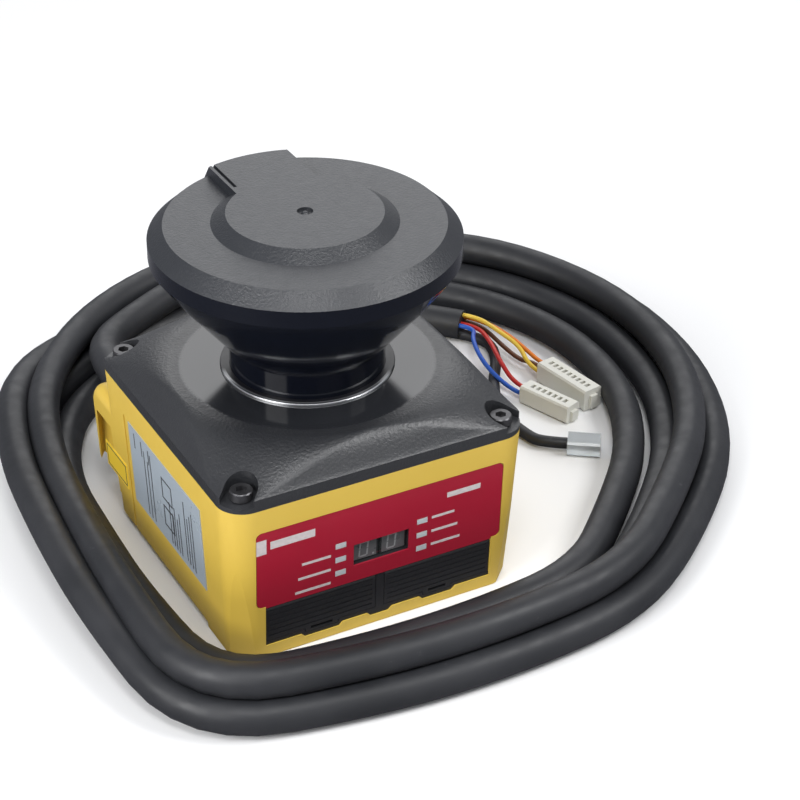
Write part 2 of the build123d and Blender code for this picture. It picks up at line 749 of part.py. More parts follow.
def encoder_sensor():
    low = HUB_TOP - DISC_T - 1.6
    body = block((DISC_R + 0.6, DISC_R + 3.4), (-2.5, 2.5), (low, CARRIER_Z))
    body += block((DISC_R - 2.4, DISC_R + 1), (-2.5, 2.5), (low, low + 1.2))
    return Rot(0, 0, SENSOR_ANGLE) * body


def lens_barrel():
    top = PLATEAU_Z - COVER_WALL - FRAME_FLANGE_T
    solid = tube(BARREL_R, BARREL_R - BARREL_WALL, BARREL_LOW, LENS_Z + LENS_T)
    solid += tube(BARREL_FLANGE_R, BARREL_R - 1, top - BARREL_FLANGE_T, top)
    solid += tube(BARREL_R - 1, BARREL_R - 2 * BARREL_WALL, LENS_Z - 2, LENS_Z)
    return solid


def receiver_lens():
    """Plano-convex lens with the laser tube through its middle."""
    radius = BARREL_R - BARREL_WALL - SEAT
    dome_r = (radius**2 + LENS_CROWN**2) / (2 * LENS_CROWN)
    lens = rod(radius, LENS_Z, LENS_Z + LENS_T)
    dome = Pos(0, 0, LENS_Z + LENS_T + LENS_CROWN - dome_r) * Sphere(dome_r)
    cap = dome & rod(radius, LENS_Z + LENS_T, LENS_Z + LENS_T + LENS_CROWN)
    return lens + cap - rod(LASER_R, LENS_Z - 1, LENS_Z + 4 * LENS_CROWN)


def laser_tube():
    top = LENS_Z + LENS_T + LENS_CROWN + 0.6
    return rod(LASER_R, top - LASER_L, top) - rod(LASER_R - 0.8, top - LASER_L - 1, top + 1)


def laser_diode():
    low = LENS_Z + LENS_T + LENS_CROWN + 0.6 - LASER_L
    return rod(LASER_R - 0.8, low, low + 2.5) + rod(LASER_R - 0.2, low - 1.2, low)


def receiver_board():
    half = BARREL_R + 2.4
    return block((-half, half), (-half, half), (BARREL_LOW - BOARD_T, BARREL_LOW))


def photodiode():
    return rod(2.7, BARREL_LOW, BARREL_LOW + 0.6) + rod(2.3, BARREL_LOW + 0.6, BARREL_LOW + 2.4)


def main_board():
    half = MOUNT_X / 2 + 4
    y = (-MOUNT_Y / 2 - 4, MOUNT_Y / 2 + 8)
    board = block((-half, half), y, (MAIN_BOARD_Z, MAIN_BOARD_Z + BOARD_T))
    for x, y in four(MOUNT_X / 2, MOUNT_Y / 2):
        board -= Pos(x, y) * rod(M2_R + 0.1, MAIN_BOARD_Z - 1, MAIN_BOARD_Z + 3)
    return board


def main_board_chips():
    top = MAIN_BOARD_Z + BOARD_T
    chips = [
        block((-9, 9), (-9, 9), (top, top + 1.8)),
        block((13, 22), (-8, 4), (top, top + 1.4)),
        block((-22, -14), (-6, 8), (top, top + 1.6)),
        Pos(18, 15) * rod(3.2, top, top + 5),
        Pos(-17, 16) * rod(3.2, top, top + 5),
    ]
    return chips


def board_screw():
    return rod(M2_TAP_R, -4, 0) + rod(M2_HEAD_R, 0, M2_HEAD_H)


def main_board_screws():
    top = MAIN_BOARD_Z + BOARD_T
    return [Pos(x, y, top) * board_screw() for x, y in four(MOUNT_X / 2, MOUNT_Y / 2)]


def display_board():
    board = on_front((-BOARD_HALF, BOARD_HALF), (18.2, PANEL_HIGH), (BOARD_IN, BOARD_IN + BOARD_T))
    for x, h in BOARD_BOSSES:
        board -= FRONT * (Pos(x, h, -BOARD_IN) * Cylinder(M2_R + 0.1, 4 * BOARD_T))
    return board


def display_board_screws():
    screws = []
    for x, h in BOARD_BOSSES:
        shank = Cylinder(M2_TAP_R, 3.5, align=UP)
        head = Cylinder(M2_HEAD_R, M2_HEAD_H, align=DOWN)
        screws.append(FRONT * (Pos(x, h, -BOARD_IN - BOARD_T) * (shank + head)))
    return screws


def front_panel():
    panel = FRONT * (Pos(0, 0, -PANEL_T) * extrude(panel_outline(COVER_GAP), amount=PANEL_T - 0.05))
    panel -= display_hole(2 * WALL)
    for hole in light_blocks(0, (-1, 2 * WALL)):
        panel -= hole
    return panel


def digit_module(side):
    inner, outer = 0.12, DISPLAY_HALF - 0.1
    x = sorted((side * inner, side * outer))
    return on_front(x, (DISPLAY_LOW + 0.15, DISPLAY_HIGH - 0.15), (DIGIT_IN, BOARD_IN))


def light_pipes():
    return light_blocks(0.05, (0, BOARD_IN))


def cover_zone(side, gap=0.0):
    """Place of one port cover in the front plane, as an outline."""
    inner = RIB_HALF + gap
    outer = PORT_HALF - gap
    low = PORT_LOW + PORT_RIM + gap
    width = outer - inner
    zone = Pos(side * (inner + outer) / 2, (low + PORT_HIGH) / 2) * Rectangle(width, PORT_HIGH - low)
    x, tab_w = TABS[0] if side < 0 else TABS[1]
    tab = Pos(x, low - TAB_DROP / 2) * Rectangle(tab_w - 2 * gap, TAB_DROP)
    return zone + tab


def port_frame():
    whole = port_outline()
    back_start = FACE_IN + COVER_T + 0.1
    solid = FRONT * (Pos(0, 0, -FRAME_DEPTH) * extrude(whole, amount=FRAME_DEPTH - back_start))
    front_zone = whole - cover_zone(-1) - cover_zone(1)
    solid += FRONT * (Pos(0, 0, -back_start) * extrude(front_zone, amount=back_start - FACE_IN))
    for side in (-1, 1):
        x = sorted((side * (RIB_HALF + POCKET_WALL), side * (PORT_HALF - POCKET_WALL)))
        solid -= on_front(x, (PORT_LOW + 1.6, PORT_HIGH - POCKET_WALL), (back_start - 0.5, POCKET_DEPTH))
        ends = sorted((side * (RIB_HALF - PIN_L), side * (RIB_HALF + 0.1)))
        solid -= hinge_rod(PIN_R + PIN_GAP, *ends)
    for x, half, tall in SOCKETS:
        solid -= socket_block(x, half, tall, (POCKET_DEPTH - 1, FRAME_DEPTH + 1))
    return solid


def port_cover(side):
    """Hinged cover with fine ridges, a rounded hinge edge, two pins and a finger tab."""
    front_in, back_in = FACE_IN, FACE_IN + COVER_T
    outline = cover_zone(side, COVER_GAP) & (Pos(0, HINGE_H / 2) * Rectangle(2 * BODY_W, HINGE_H))
    plate = FRONT * (Pos(0, 0, -back_in) * extrude(outline, amount=COVER_T))
    ends = sorted((side * (RIB_HALF + COVER_GAP), side * (PORT_HALF - COVER_GAP)))
    plate += hinge_rod(COVER_T / 2, *ends)
    ridge_low = PORT_LOW + PORT_RIM + 1.4
    step = (HINGE_H - 0.4 - ridge_low) / (RIDGES - 1)
    for i in range(RIDGES):
        h = ridge_low + i * step
        plate -= on_front((ends[0] + 0.8, ends[1] - 0.8), (h, h + 0.35), (-1, front_in + 0.25))
    x, tab_w = TABS[0] if side < 0 else TABS[1]
    nick = (x - tab_w / 2 + 1.6, x + tab_w / 2 - 1.6)
    plate -= on_front(nick, (PORT_LOW + 0.65, PORT_LOW + 1.45), (-1, front_in + 0.9))
    plate += hinge_rod(PIN_R, ends[0] - PIN_L, ends[1] + PIN_L)
    return plate


def socket_block(x, half, tall, depth):
    return on_front((x - half, x + half), (SOCKET_H - tall / 2, SOCKET_H + tall / 2), depth)


def config_socket():
    x, half, tall = SOCKETS[0]
    half, tall = half - 0.1, tall - 0.2
    shell = socket_block(x, half, tall, (SOCKET_MOUTH, FRAME_DEPTH))
    mouth = socket_block(x, half - 0.5, tall - 1.0, (SOCKET_MOUTH - 1, FRAME_DEPTH - 0.4))
    tongue = socket_block(x, 2.4, 0.7, (SOCKET_MOUTH + 0.4, FRAME_DEPTH - 0.2))
    return shell - mouth + tongue


def service_socket():
    x, half, tall = SOCKETS[1]
    half, tall = half - 0.1, tall - 0.2
    shell = socket_block(x, half, tall, (SOCKET_MOUTH, FRAME_DEPTH))
    for i in range(4):
        pin_x = x - 3.3 + 2.2 * i
        shell -= socket_block(pin_x, 0.6, 2.8, (SOCKET_MOUTH - 1, FRAME_DEPTH - 0.5))
    return shell


def port_board():
    return on_front((-22, 22), (5.2, PORT_HIGH - 0.4), (FRAME_DEPTH, FRAME_DEPTH + BOARD_T))


def rating_label():
    return LEFT * (block((-LABEL_Y[1], -LABEL_Y[0]), LABEL_Z, (0, LABEL_T)))


def side_sticker():
    return LEFT * (block((-STICKER_Y[1], -STICKER_Y[0]), STICKER_Z, (0, LABEL_T)))


def gland():
    """Moulded cable entry: a collar on the bulge and a ringed, tapering sleeve."""
    rear = BODY_D / 2 + BULGE_OUT
    inner_end = -BULGE_WALL - 2.2
    nose_r = GLAND_NOSE_R - 0.05
    outline = [(0, inner_end), (nose_r, inner_end), (nose_r, 0), (GLAND_R, 0), (GLAND_R, GLAND_COLLAR)]
    pitch = (GLAND_L - GLAND_COLLAR) / GLAND_RINGS
    for i in range(GLAND_RINGS):
        r = GLAND_R - 0.6 - (GLAND_R - 1.4 - CABLE_R) * i / GLAND_RINGS
        z = GLAND_COLLAR + i * pitch
        outline += [(r, z), (r, z + pitch * 0.6), (r - 0.7, z + pitch * 0.6), (r - 0.7, z + pitch)]
    outline += [(0, GLAND_L)]
    solid = turned(outline)
    return Pos(GLAND_X, rear, GLAND_Z) * (Rot(-90, 0, 0) * solid)


def gland_nut():
    inner_face = BODY_D / 2 + BULGE_OUT - BULGE_WALL
    nut = extrude(RegularPolygon(GLAND_NOSE_R + 2.2, 6), amount=2.0) - rod(GLAND_NOSE_R, -1, 3)
    return Pos(GLAND_X, inner_face, GLAND_Z) * (Rot(90, 0, 0) * nut)


def coil_point(i, extra):
    angle = math.radians(360 / len(COIL_IN) * i)
    r = COIL_IN[i] + extra
    return (COIL_X + r * math.cos(angle), COIL_Y + r * math.sin(angle))


def coil_edge(extra, fan):
    """Closed curve round the housing, a set distance outside the innermost strand."""
    points = [coil_point(i, extra + fan * COIL_FAN[i]) for i in range(len(COIL_IN))]
    return make_face(Spline(*points, periodic=True))


def cable_coil():
    """Outer shape of the loose coil: one strand high inside, two high outside, wider on the right."""
    low = 2 * CABLE_R
    high = low + STACK_RISE
    outer = coil_edge(STACK_STEP + CABLE_R, FAN_STEP)
    solid = extrude(outer - coil_edge(-CABLE_R, 0), amount=low)
    return solid + extrude(outer - coil_edge(STACK_IN, 0), amount=high)


def cord_radii(points):
    """Bend radius at each inner point: 0.45 of the shorter run over the tangent of half the turn."""
    radii = []
    for a, b, c in zip(points, points[1:], points[2:]):
        before, after = Vector(*b) - Vector(*a), Vector(*c) - Vector(*b)
        turn = math.radians(before.get_angle(after))
        radii.append(0.45 * min(before.length, after.length) / math.tan(turn / 2))
    return radii


def cord(name, points, radius):
    radii = cord_radii(points)
    path = FilletPolyline(*points, radius=radii)
    start = Plane(origin=points[0], z_dir=Vector(*points[1]) - Vector(*points[0]))
    solid = sweep(start * Circle(radius), path=path)
    share = solid.volume / (math.pi * radius**2 * path.length)
    print(name, "length", round(path.length, 1), "share", round(share, 4))
    return solid


def sheath_point(sideways, up, ahead=0.0):
    side = Vector(-TAIL_DIR.Y, TAIL_DIR.X, 0)
    at = Vector(*TAIL_END) + side * sideways + Vector(0, 0, up) + TAIL_DIR * ahead
    return (at.X, at.Y, at.Z)


def connector_point(name, along, across, height):
    (x, y), turn, _, _, _, _ = CONNECTORS[name]
    c, s = math.cos(math.radians(turn)), math.sin(math.radians(turn))
    return (x + along * c - across * s, y + along * s + across * c, height)


def connector(name):
    """White socket strip with a row of pin holes along its top."""
    (x, y), turn, length, width, height, ways = CONNECTORS[name]
    body = block((-length / 2, length / 2), (-width / 2, width / 2), (0, height))
    body = chamfer(body.edges().filter_by(Axis.X), 0.5)
    for i in range(ways):
        at = (i - (ways - 1) / 2) * PIN_PITCH
        body -= block((at - 0.55, at + 0.55), (-0.9, 0.9), (height - 2.4, height + 1))
    for end in (-1, 1):
        lug_x = sorted((end * (length / 2 - 0.5), end * (length / 2 + 0.9)))
        body += block(lug_x, (-1.2, 1.2), (0.6, height - 1.8))
    return Pos(x, y) * (Rot(0, 0, turn) * body)


def wire_points(name):
    (side, up), middle, target, across = WIRES[name]
    back = -CONNECTORS[target][2] / 2 - 0.9
    high = CONNECTORS[target][4] * 0.45
    return (
        sheath_point(side, up),
        sheath_point(side, up, 5.0),
        *middle,
        connector_point(target, back - 4.5, across, high),
        connector_point(target, back, across, high),
    )


def plug_point(back):
    c, s = math.cos(math.radians(PLUG_TURN)), math.sin(math.radians(PLUG_TURN))
    along = -PLUG_SIZE[0] / 2 - back
    return (PLUG_AT[0] + along * c, PLUG_AT[1] + along * s, PLUG_SIZE[2] / 2)


def end_plug():
    """Small clear plug at the end of the thin cable."""
    length, width, height = PLUG_SIZE
    body = block((-length / 2, length / 2), (-width / 2, width / 2), (0, height))
    body = chamfer(body.edges().filter_by(Axis.X), 0.6)
    for across in (-1.6, 0, 1.6):
        slot_y = (across - 0.45, across + 0.45)
        body -= block((length / 2 - 4, length / 2 + 1), slot_y, (height - 2, height - 1.1))
    return Pos(*PLUG_AT) * (Rot(0, 0, PLUG_TURN) * body)


SUB = (
    sheath_point(*SUB_START),
    sheath_point(*SUB_START, 8.0),
    *SUB_MIDDLE,
    plug_point(6.5),
    plug_point(0),
)


def build():
    nodes = {
        "housing": housing(),
        "mounting_inserts": mounting_inserts(),
        "cover_gasket": gasket_ring(SEAT),
        "top_cover": top_cover(),
        "cover_screws": cover_screws(),
        "optical_window": optical_window(),
        "window_ring": window_ring(),
        "window_seal": seal_ring(PLATEAU_Z - FLANGE_T),
        "head_cap": head_cap(),
        "head_frame": head_frame(),
        "frame_screws": frame_screws(),
        "motor_bearings": motor_bearings(),
        "motor_stator": motor_stator(),
        "motor_board": motor_board(),
        "motor_shaft": motor_shaft(),
        "rotor_cup": rotor_cup(),
        "rotor_magnet": rotor_magnet(),
        "encoder_disc": encoder_disc(),
        "mirror_hub": mirror_hub(),
        "scan_mirror": scan_mirror(),
        "encoder_sensor": encoder_sensor(),
        "lens_barrel": lens_barrel(),
        "receiver_lens": receiver_lens(),
        "laser_tube": laser_tube(),
        "laser_diode": laser_diode(),
        "receiver_board": receiver_board(),
        "photodiode": photodiode(),
        "main_board": main_board(),
        "main_board_chips": main_board_chips(),
        "main_board_screws": main_board_screws(),
        "display_board": display_board(),
        "display_board_screws": display_board_screws(),
        "front_panel": front_panel(),
        "display_bezel": display_bezel(),
        "digit_left": digit_module(-1),
        "digit_right": digit_module(1),
        "light_pipes": light_pipes(),
        "port_frame": port_frame(),
        "port_cover_left": port_cover(-1),
        "port_cover_right": port_cover(1),
        "config_socket": config_socket(),
        "service_socket": service_socket(),
        "port_board": port_board(),
        "rating_label": rating_label(),
        "side_sticker": side_sticker(),
        "cable_gland": gland(),
        "gland_nut": gland_nut(),
        "cable_coil": cable_coil(),
        "cable_tail": cord("cable_tail", TAIL, CABLE_R),
        "sub_cable": cord("sub_cable", SUB, SUB_R),
        "end_plug": end_plug(),
    }
    lead = cord("cable_lead", LEAD, CABLE_R) - nodes["cable_coil"]
    nodes["cable_lead"] = lead.solids().sort_by(SortBy.VOLUME)[-1]
    for name in CONNECTORS:
        nodes[name] = connector(name)
    for name in WIRES:
        nodes[name] = cord(name, wire_points(name), WIRE_R)
    return nodes


def main():
    os.makedirs("parts", exist_ok=True)
    for name, shape in build().items():
        solids = shape if isinstance(shape, list) else [shape]
        solids = [s for item in solids for s in item.solids()]
        whole = solids[0] if len(solids) == 1 else Compound(children=solids)
        export_step(whole, f"parts/{name}.step")


main()
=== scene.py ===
import math

import bmesh
import bpy
from mathutils import Matrix, Vector


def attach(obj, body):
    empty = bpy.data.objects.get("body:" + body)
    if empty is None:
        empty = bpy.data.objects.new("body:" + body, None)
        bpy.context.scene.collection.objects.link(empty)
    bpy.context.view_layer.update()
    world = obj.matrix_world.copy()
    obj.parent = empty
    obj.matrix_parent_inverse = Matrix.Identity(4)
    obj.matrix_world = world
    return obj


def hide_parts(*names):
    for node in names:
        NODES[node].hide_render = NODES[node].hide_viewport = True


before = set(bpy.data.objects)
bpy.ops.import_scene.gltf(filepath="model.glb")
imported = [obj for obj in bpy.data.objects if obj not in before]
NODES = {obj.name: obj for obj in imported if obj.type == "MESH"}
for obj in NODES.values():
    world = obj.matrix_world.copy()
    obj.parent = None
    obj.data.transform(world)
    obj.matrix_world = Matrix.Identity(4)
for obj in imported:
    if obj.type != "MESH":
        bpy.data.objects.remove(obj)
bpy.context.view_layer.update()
scene = bpy.context.scene
MM = 0.001

# Camera, fitted to the photograph: azimuth, elevation, roll and place

AZIMUTH, ELEVATION, ROLL = math.radians(-28.49), math.radians(32.12), math.radians(0.51)
CAMERA_AT = (-0.2067, -0.4285, 0.3410)
back = Matrix.Rotation(AZIMUTH, 3, "Z") @ Vector((0, -math.cos(ELEVATION), math.sin(ELEVATION)))
right = Vector((math.cos(AZIMUTH), math.sin(AZIMUTH), 0))
up = back.cross(right)
side = right * math.cos(ROLL) + up * math.sin(ROLL)
upward = up * math.cos(ROLL) - right * math.sin(ROLL)
camera = bpy.data.objects.new("camera", bpy.data.cameras.new("camera"))
scene.collection.objects.link(camera)
camera.matrix_world = Matrix(
    (
        (side.x, upward.x, back.x, CAMERA_AT[0]),
        (side.y, upward.y, back.y, CAMERA_AT[1]),
        (side.z, upward.z, back.z, CAMERA_AT[2]),
        (0, 0, 0, 1),
    )
)
camera.data.lens = 101.97
camera.data.sensor_width = 36.0
camera.data.clip_start = 0.01
camera.data.clip_end = 20.0
scene.camera = camera
scene.render.resolution_x = 800
scene.render.resolution_y = 800
scene.view_settings.view_transform = "Standard"


# Materials

def material(name, color, rough=0.5, metallic=0.0, **extra):
    """Principled material. Values that don't vary sit on the shader's own sockets."""
    mat = bpy.data.materials.new(name)
    mat.use_nodes = True
    shader = mat.node_tree.nodes["Principled BSDF"]
    shader.inputs["Base Color"].default_value = (*color, 1)
    shader.inputs["Roughness"].default_value = rough
    shader.inputs["Metallic"].default_value = metallic
    for key, value in extra.items():
        shader.inputs[key.replace("_", " ")].default_value = value
    return mat


def add(tree, kind, **values):
    node = tree.nodes.new(kind)
    for key, value in values.items():
        setattr(node, key, value)
    return node


def object_coords(tree):
    found = [n for n in tree.nodes if n.bl_idname == "ShaderNodeTexCoord"]
    return (found or [add(tree, "ShaderNodeTexCoord")])[0].outputs["Object"]


def noise(tree, scale, detail=2.0, roughness=0.5):
    node = add(tree, "ShaderNodeTexNoise")
    node.inputs["Scale"].default_value = scale
    node.inputs["Detail"].default_value = detail
    node.inputs["Roughness"].default_value = roughness
    tree.links.new(object_coords(tree), node.inputs["Vector"])
    return node.outputs["Fac"]


def remap(tree, value, low, high, to_low, to_high):
    node = add(tree, "ShaderNodeMapRange")
    for key, number in zip(("From Min", "From Max", "To Min", "To Max"), (low, high, to_low, to_high)):
        node.inputs[key].default_value = number
    tree.links.new(value, node.inputs["Value"])
    return node.outputs["Result"]


def math_node(tree, operation, a, b=None):
    node = add(tree, "ShaderNodeMath", operation=operation)
    for socket, value in zip(node.inputs, (a, b)):
        if value is None:
            continue
        if isinstance(value, (int, float)):
            socket.default_value = value
        else:
            tree.links.new(value, socket)
    return node.outputs[0]


def mix_values(tree, kind, factor, a, b):
    """Mixes two numbers or two colours of four values. Each may be another node's output instead."""
    node = add(tree, "ShaderNodeMix", data_type=kind)
    tree.links.new(factor, node.inputs["Factor"])
    for socket, value in ((node.inputs["A"], a), (node.inputs["B"], b)):
        if isinstance(value, bpy.types.NodeSocket):
            tree.links.new(value, socket)
        else:
            socket.default_value = value
    return node.outputs["Result"]


def mix_colors(tree, factor, color_a, color_b):
    return mix_values(tree, "RGBA", factor, (*color_a, 1), (*color_b, 1))


def place_round_axis(tree):
    """The shaded point's x and y, and its distance from the scan axis, in metres."""
    split = add(tree, "ShaderNodeSeparateXYZ")
    tree.links.new(object_coords(tree), split.inputs[0])
    x, y = split.outputs["X"], split.outputs["Y"]
    squares = math_node(tree, "ADD", math_node(tree, "MULTIPLY", x, x), math_node(tree, "MULTIPLY", y, y))
    return x, y, math_node(tree, "SQRT", squares)


def feed(mat, key, value):
    """Links a node's output to one of the shader's own sockets."""
    tree = mat.node_tree
    tree.links.new(value, tree.nodes["Principled BSDF"].inputs[key])


def vary_color(mat, color_a, color_b, scale, low=0.35, high=0.65, detail=3.0):
    tree = mat.node_tree
    drift = remap(tree, noise(tree, scale, detail), low, high, 0, 1)
    color = mix_colors(tree, drift, color_a, color_b)
    feed(mat, "Base Color", color)
    return color


def vary_rough(mat, low, high, scale, detail=3.0):
    tree = mat.node_tree
    feed(mat, "Roughness", remap(tree, noise(tree, scale, detail), 0.3, 0.7, low, high))


def bump(mat, height, strength, distance):
    tree = mat.node_tree
    node = add(tree, "ShaderNodeBump")
    node.inputs["Strength"].default_value = strength
    node.inputs["Distance"].default_value = distance
    tree.links.new(height, node.inputs["Height"])
    feed(mat, "Normal", node.outputs["Normal"])


def grained(name, color_a, color_b, rough, grain, depth, strength=0.6, **extra):
    """Moulded plastic: slight colour drift, uneven gloss and a fine spark-eroded grain."""
    mat = material(name, color_a, rough, **extra)
    vary_color(mat, color_a, color_b, 60.0, 0.2, 0.8, 5.0)
    vary_rough(mat, rough - 0.02, rough + 0.03, 420.0, 4.0)
    bump(mat, noise(mat.node_tree, grain, 3.0, 0.6), strength, depth)
    return mat


def smooth(name, color, rough, gloss, scale, **extra):
    """Material without grain whose roughness drifts between the two values of gloss."""
    mat = material(name, color, rough, **extra)
    vary_rough(mat, *gloss, scale)
    return mat


def ink(name, color_a, color_b, rough):
    mat = material(name, color_a, rough)
    vary_color(mat, color_a, color_b, 900.0)
    return mat


def wire_material(name, color):
    dark = tuple(c * 0.8 for c in color)
    return grained("mat_" + name, color, dark, 0.35, 1500.0, 0.00003, 0.3)


# The cover's grain starts outside a polished disc round the scan axis, in metres
COVER_GRAIN = 0.75
POLISH_R, POLISH_FADE, POLISH_ROUGH = 0.0306, 0.0012, 0.1
# Painted highlight on the ring's outer edge: its distances from the scan axis, and how far to the front it
# fades in
RING_EDGE = (0.0204, 0.0206)
RING_HIGHLIGHT_FADE = (0.005, 0.011)
# Direction towards the front, where the painted highlight lies
RING_FRONT_X, RING_FRONT_Y = -0.48, 0.88
WIRE_COLORS = {
    "wire_orange": (0.8, 0.22, 0.02),
    "wire_brown": (0.13, 0.045, 0.018),
    "wire_yellow": (0.8, 0.55, 0.06),
    "wire_red": (0.5, 0.02, 0.015),
    "wire_blue": (0.02, 0.1, 0.5),
}


def cover_material():
    """Grained plastic, but smooth and glossy on the cover's round plateau."""
    mat = grained(
        "cover_plastic", (0.017, 0.018, 0.021), (0.02, 0.021, 0.024), 0.4, 1300.0, 0.0002, COVER_GRAIN,
        Specular_IOR_Level=1.0,
    )
    tree = mat.node_tree
    shader = tree.nodes["Principled BSDF"]
    distance = place_round_axis(tree)[2]
    outside = remap(tree, distance, POLISH_R, POLISH_R + POLISH_FADE, 0, 1)
    grain = shader.inputs["Normal"].links[0].from_node
    tree.links.new(math_node(tree, "MULTIPLY", outside, COVER_GRAIN), grain.inputs["Strength"])
    rough = shader.inputs["Roughness"].links[0].from_socket
    feed(mat, "Roughness", mix_values(tree, "FLOAT", outside, POLISH_ROUGH, rough))
    return mat


def ring_material():
    """Dark ring with a painted highlight: its outer edge is pale and metallic on the front side only."""
    dark, highlight_metal = (0.01, 0.01, 0.013), (0.75, 0.76, 0.78)
    mat = material("ring_painted_highlight", dark, 0.3)
    tree = mat.node_tree
    x, y, distance = place_round_axis(tree)
    edge = remap(tree, distance, *RING_EDGE, 0, 1)
    lean = math_node(tree, "MULTIPLY", x, RING_FRONT_X)
    ahead = math_node(tree, "SUBTRACT", lean, math_node(tree, "MULTIPLY", y, RING_FRONT_Y))
    # Painted highlight: the outer edge turns pale and metallic only towards the front
    highlight_mask = math_node(tree, "MULTIPLY", edge, remap(tree, ahead, *RING_HIGHLIGHT_FADE, 0, 1))
    feed(mat, "Base Color", mix_colors(tree, highlight_mask, dark, highlight_metal))
    feed(mat, "Metallic", highlight_mask)
    vary_rough(mat, 0.3, 0.38, 240.0)
    return mat


def sheath_material():
    """Matt jacket with pale rubbed marks and a fine grain."""
    mat = material("sheath", (0.02, 0.021, 0.024), 0.5)
    tree = mat.node_tree
    jacket = vary_color(mat, (0.014, 0.015, 0.018), (0.026, 0.027, 0.031), 30.0)
    marks = remap(tree, noise(tree, 210.0, 6.0, 0.7), 0.66, 0.78, 0, 0.55)
    feed(mat, "Base Color", mix_values(tree, "RGBA", marks, jacket, (0.1, 0.1, 0.11, 1)))
    vary_rough(mat, 0.42, 0.58, 240.0, 4.0)
    bump(mat, noise(tree, 1500.0, 3.0, 0.6), 0.35, 0.00006)
    return mat


M = {
    "yellow": grained(
        "yellow_plastic", (0.66, 0.455, 0.07), (0.63, 0.43, 0.064), 0.42, 2600.0, 0.00005, 0.35
    ),
    "cover": cover_material(),
    "cap": grained(
        "cap_plastic", (0.02, 0.022, 0.027), (0.023, 0.025, 0.03), 0.4, 1500.0, 0.0002, 0.7,
        Specular_IOR_Level=0.75,
    ),
    "window": smooth(
        "smoked_window", (0.004, 0.005, 0.009), 0.1, (0.07, 0.12), 60.0, Specular_IOR_Level=0.22
    ),
    "ring": ring_material(),
    "panel": grained("panel_red", (0.36, 0.012, 0.032), (0.33, 0.01, 0.028), 0.3, 2400.0, 0.00003, 0.25),
    "port": grained("port_plastic", (0.014, 0.014, 0.016), (0.02, 0.02, 0.023), 0.42, 2200.0, 0.00006, 0.4),
    "label": smooth("label_film", (0.34, 0.39, 0.44), 0.35, (0.26, 0.36), 90.0),
    "sticker": smooth("sticker_film", (0.86, 0.6, 0.05), 0.3, (0.26, 0.36), 90.0),
    "screw": grained(
        "black_oxide", (0.08, 0.08, 0.085), (0.11, 0.108, 0.112), 0.34, 900.0, 0.00005, 0.5, metallic=0.8
    ),
    "steel": grained("steel", (0.56, 0.56, 0.58), (0.5, 0.5, 0.52), 0.28, 700.0, 0.00003, 0.4, metallic=1.0),
    "brass": grained("brass", (0.72, 0.53, 0.2), (0.66, 0.47, 0.17), 0.3, 700.0, 0.00003, 0.4, metallic=1.0),
    "alu": grained(
        "cast_aluminium", (0.42, 0.43, 0.45), (0.36, 0.37, 0.39), 0.45, 900.0, 0.00008, 0.5, metallic=1.0
    ),
    "rubber": grained("rubber", (0.02, 0.02, 0.021), (0.028, 0.028, 0.029), 0.7, 1200.0, 0.00006, 0.5),
    "mirror": smooth("mirror_coat", (0.87, 0.89, 0.91), 0.03, (0.02, 0.05), 90.0, metallic=1.0),
    "lens": smooth(
        "lens_glass", (0.6, 0.65, 0.75), 0.04, (0.03, 0.06), 90.0, Transmission_Weight=0.9, IOR=1.5
    ),
    "board": grained("board", (0.015, 0.12, 0.05), (0.02, 0.15, 0.06), 0.35, 500.0, 0.00003, 0.4),
    "chip": grained("chip", (0.02, 0.02, 0.022), (0.03, 0.03, 0.032), 0.5, 1600.0, 0.00004, 0.4),
    "copper": grained(
        "copper", (0.55, 0.2, 0.09), (0.45, 0.16, 0.07), 0.35, 1200.0, 0.00006, 0.5, metallic=1.0
    ),
    "magnet": grained("magnet", (0.08, 0.08, 0.09), (0.1, 0.1, 0.11), 0.5, 900.0, 0.00005, 0.4, metallic=0.6),
    "digit": smooth("digit_face", (0.018, 0.021, 0.022), 0.12, (0.1, 0.18), 200.0, Coat_Weight=0.4),
    "digit_face": smooth("digit_filter", (0.1, 0.102, 0.106), 0.3, (0.25, 0.35), 400.0),
    "segment": smooth("digit_segment", (0.26, 0.265, 0.27), 0.35, (0.3, 0.4), 500.0),
    "light": smooth("light_pipe", (0.66, 0.62, 0.6), 0.2, (0.15, 0.25), 500.0, Subsurface_Weight=0.3),
    "white": grained("white_nylon", (0.72, 0.72, 0.67), (0.66, 0.65, 0.58), 0.42, 900.0, 0.00004, 0.4),
    "clear": smooth(
        "clear_plastic", (0.6, 0.64, 0.66), 0.12, (0.1, 0.2), 300.0, Transmission_Weight=0.6, IOR=1.45
    ),
    "print_pale": ink("print_pale", (0.62, 0.56, 0.56), (0.55, 0.5, 0.5), 0.4),
    "print_dark": ink("print_dark", (0.03, 0.03, 0.035), (0.06, 0.06, 0.065), 0.45),
    "sheath": sheath_material(),
    **{name: wire_material(name, color) for name, color in WIRE_COLORS.items()},
}


def dress(mat, *names):
    for name in names:
        ob = NODES[name]
        ob.data.materials.clear()
        ob.data.materials.append(mat)


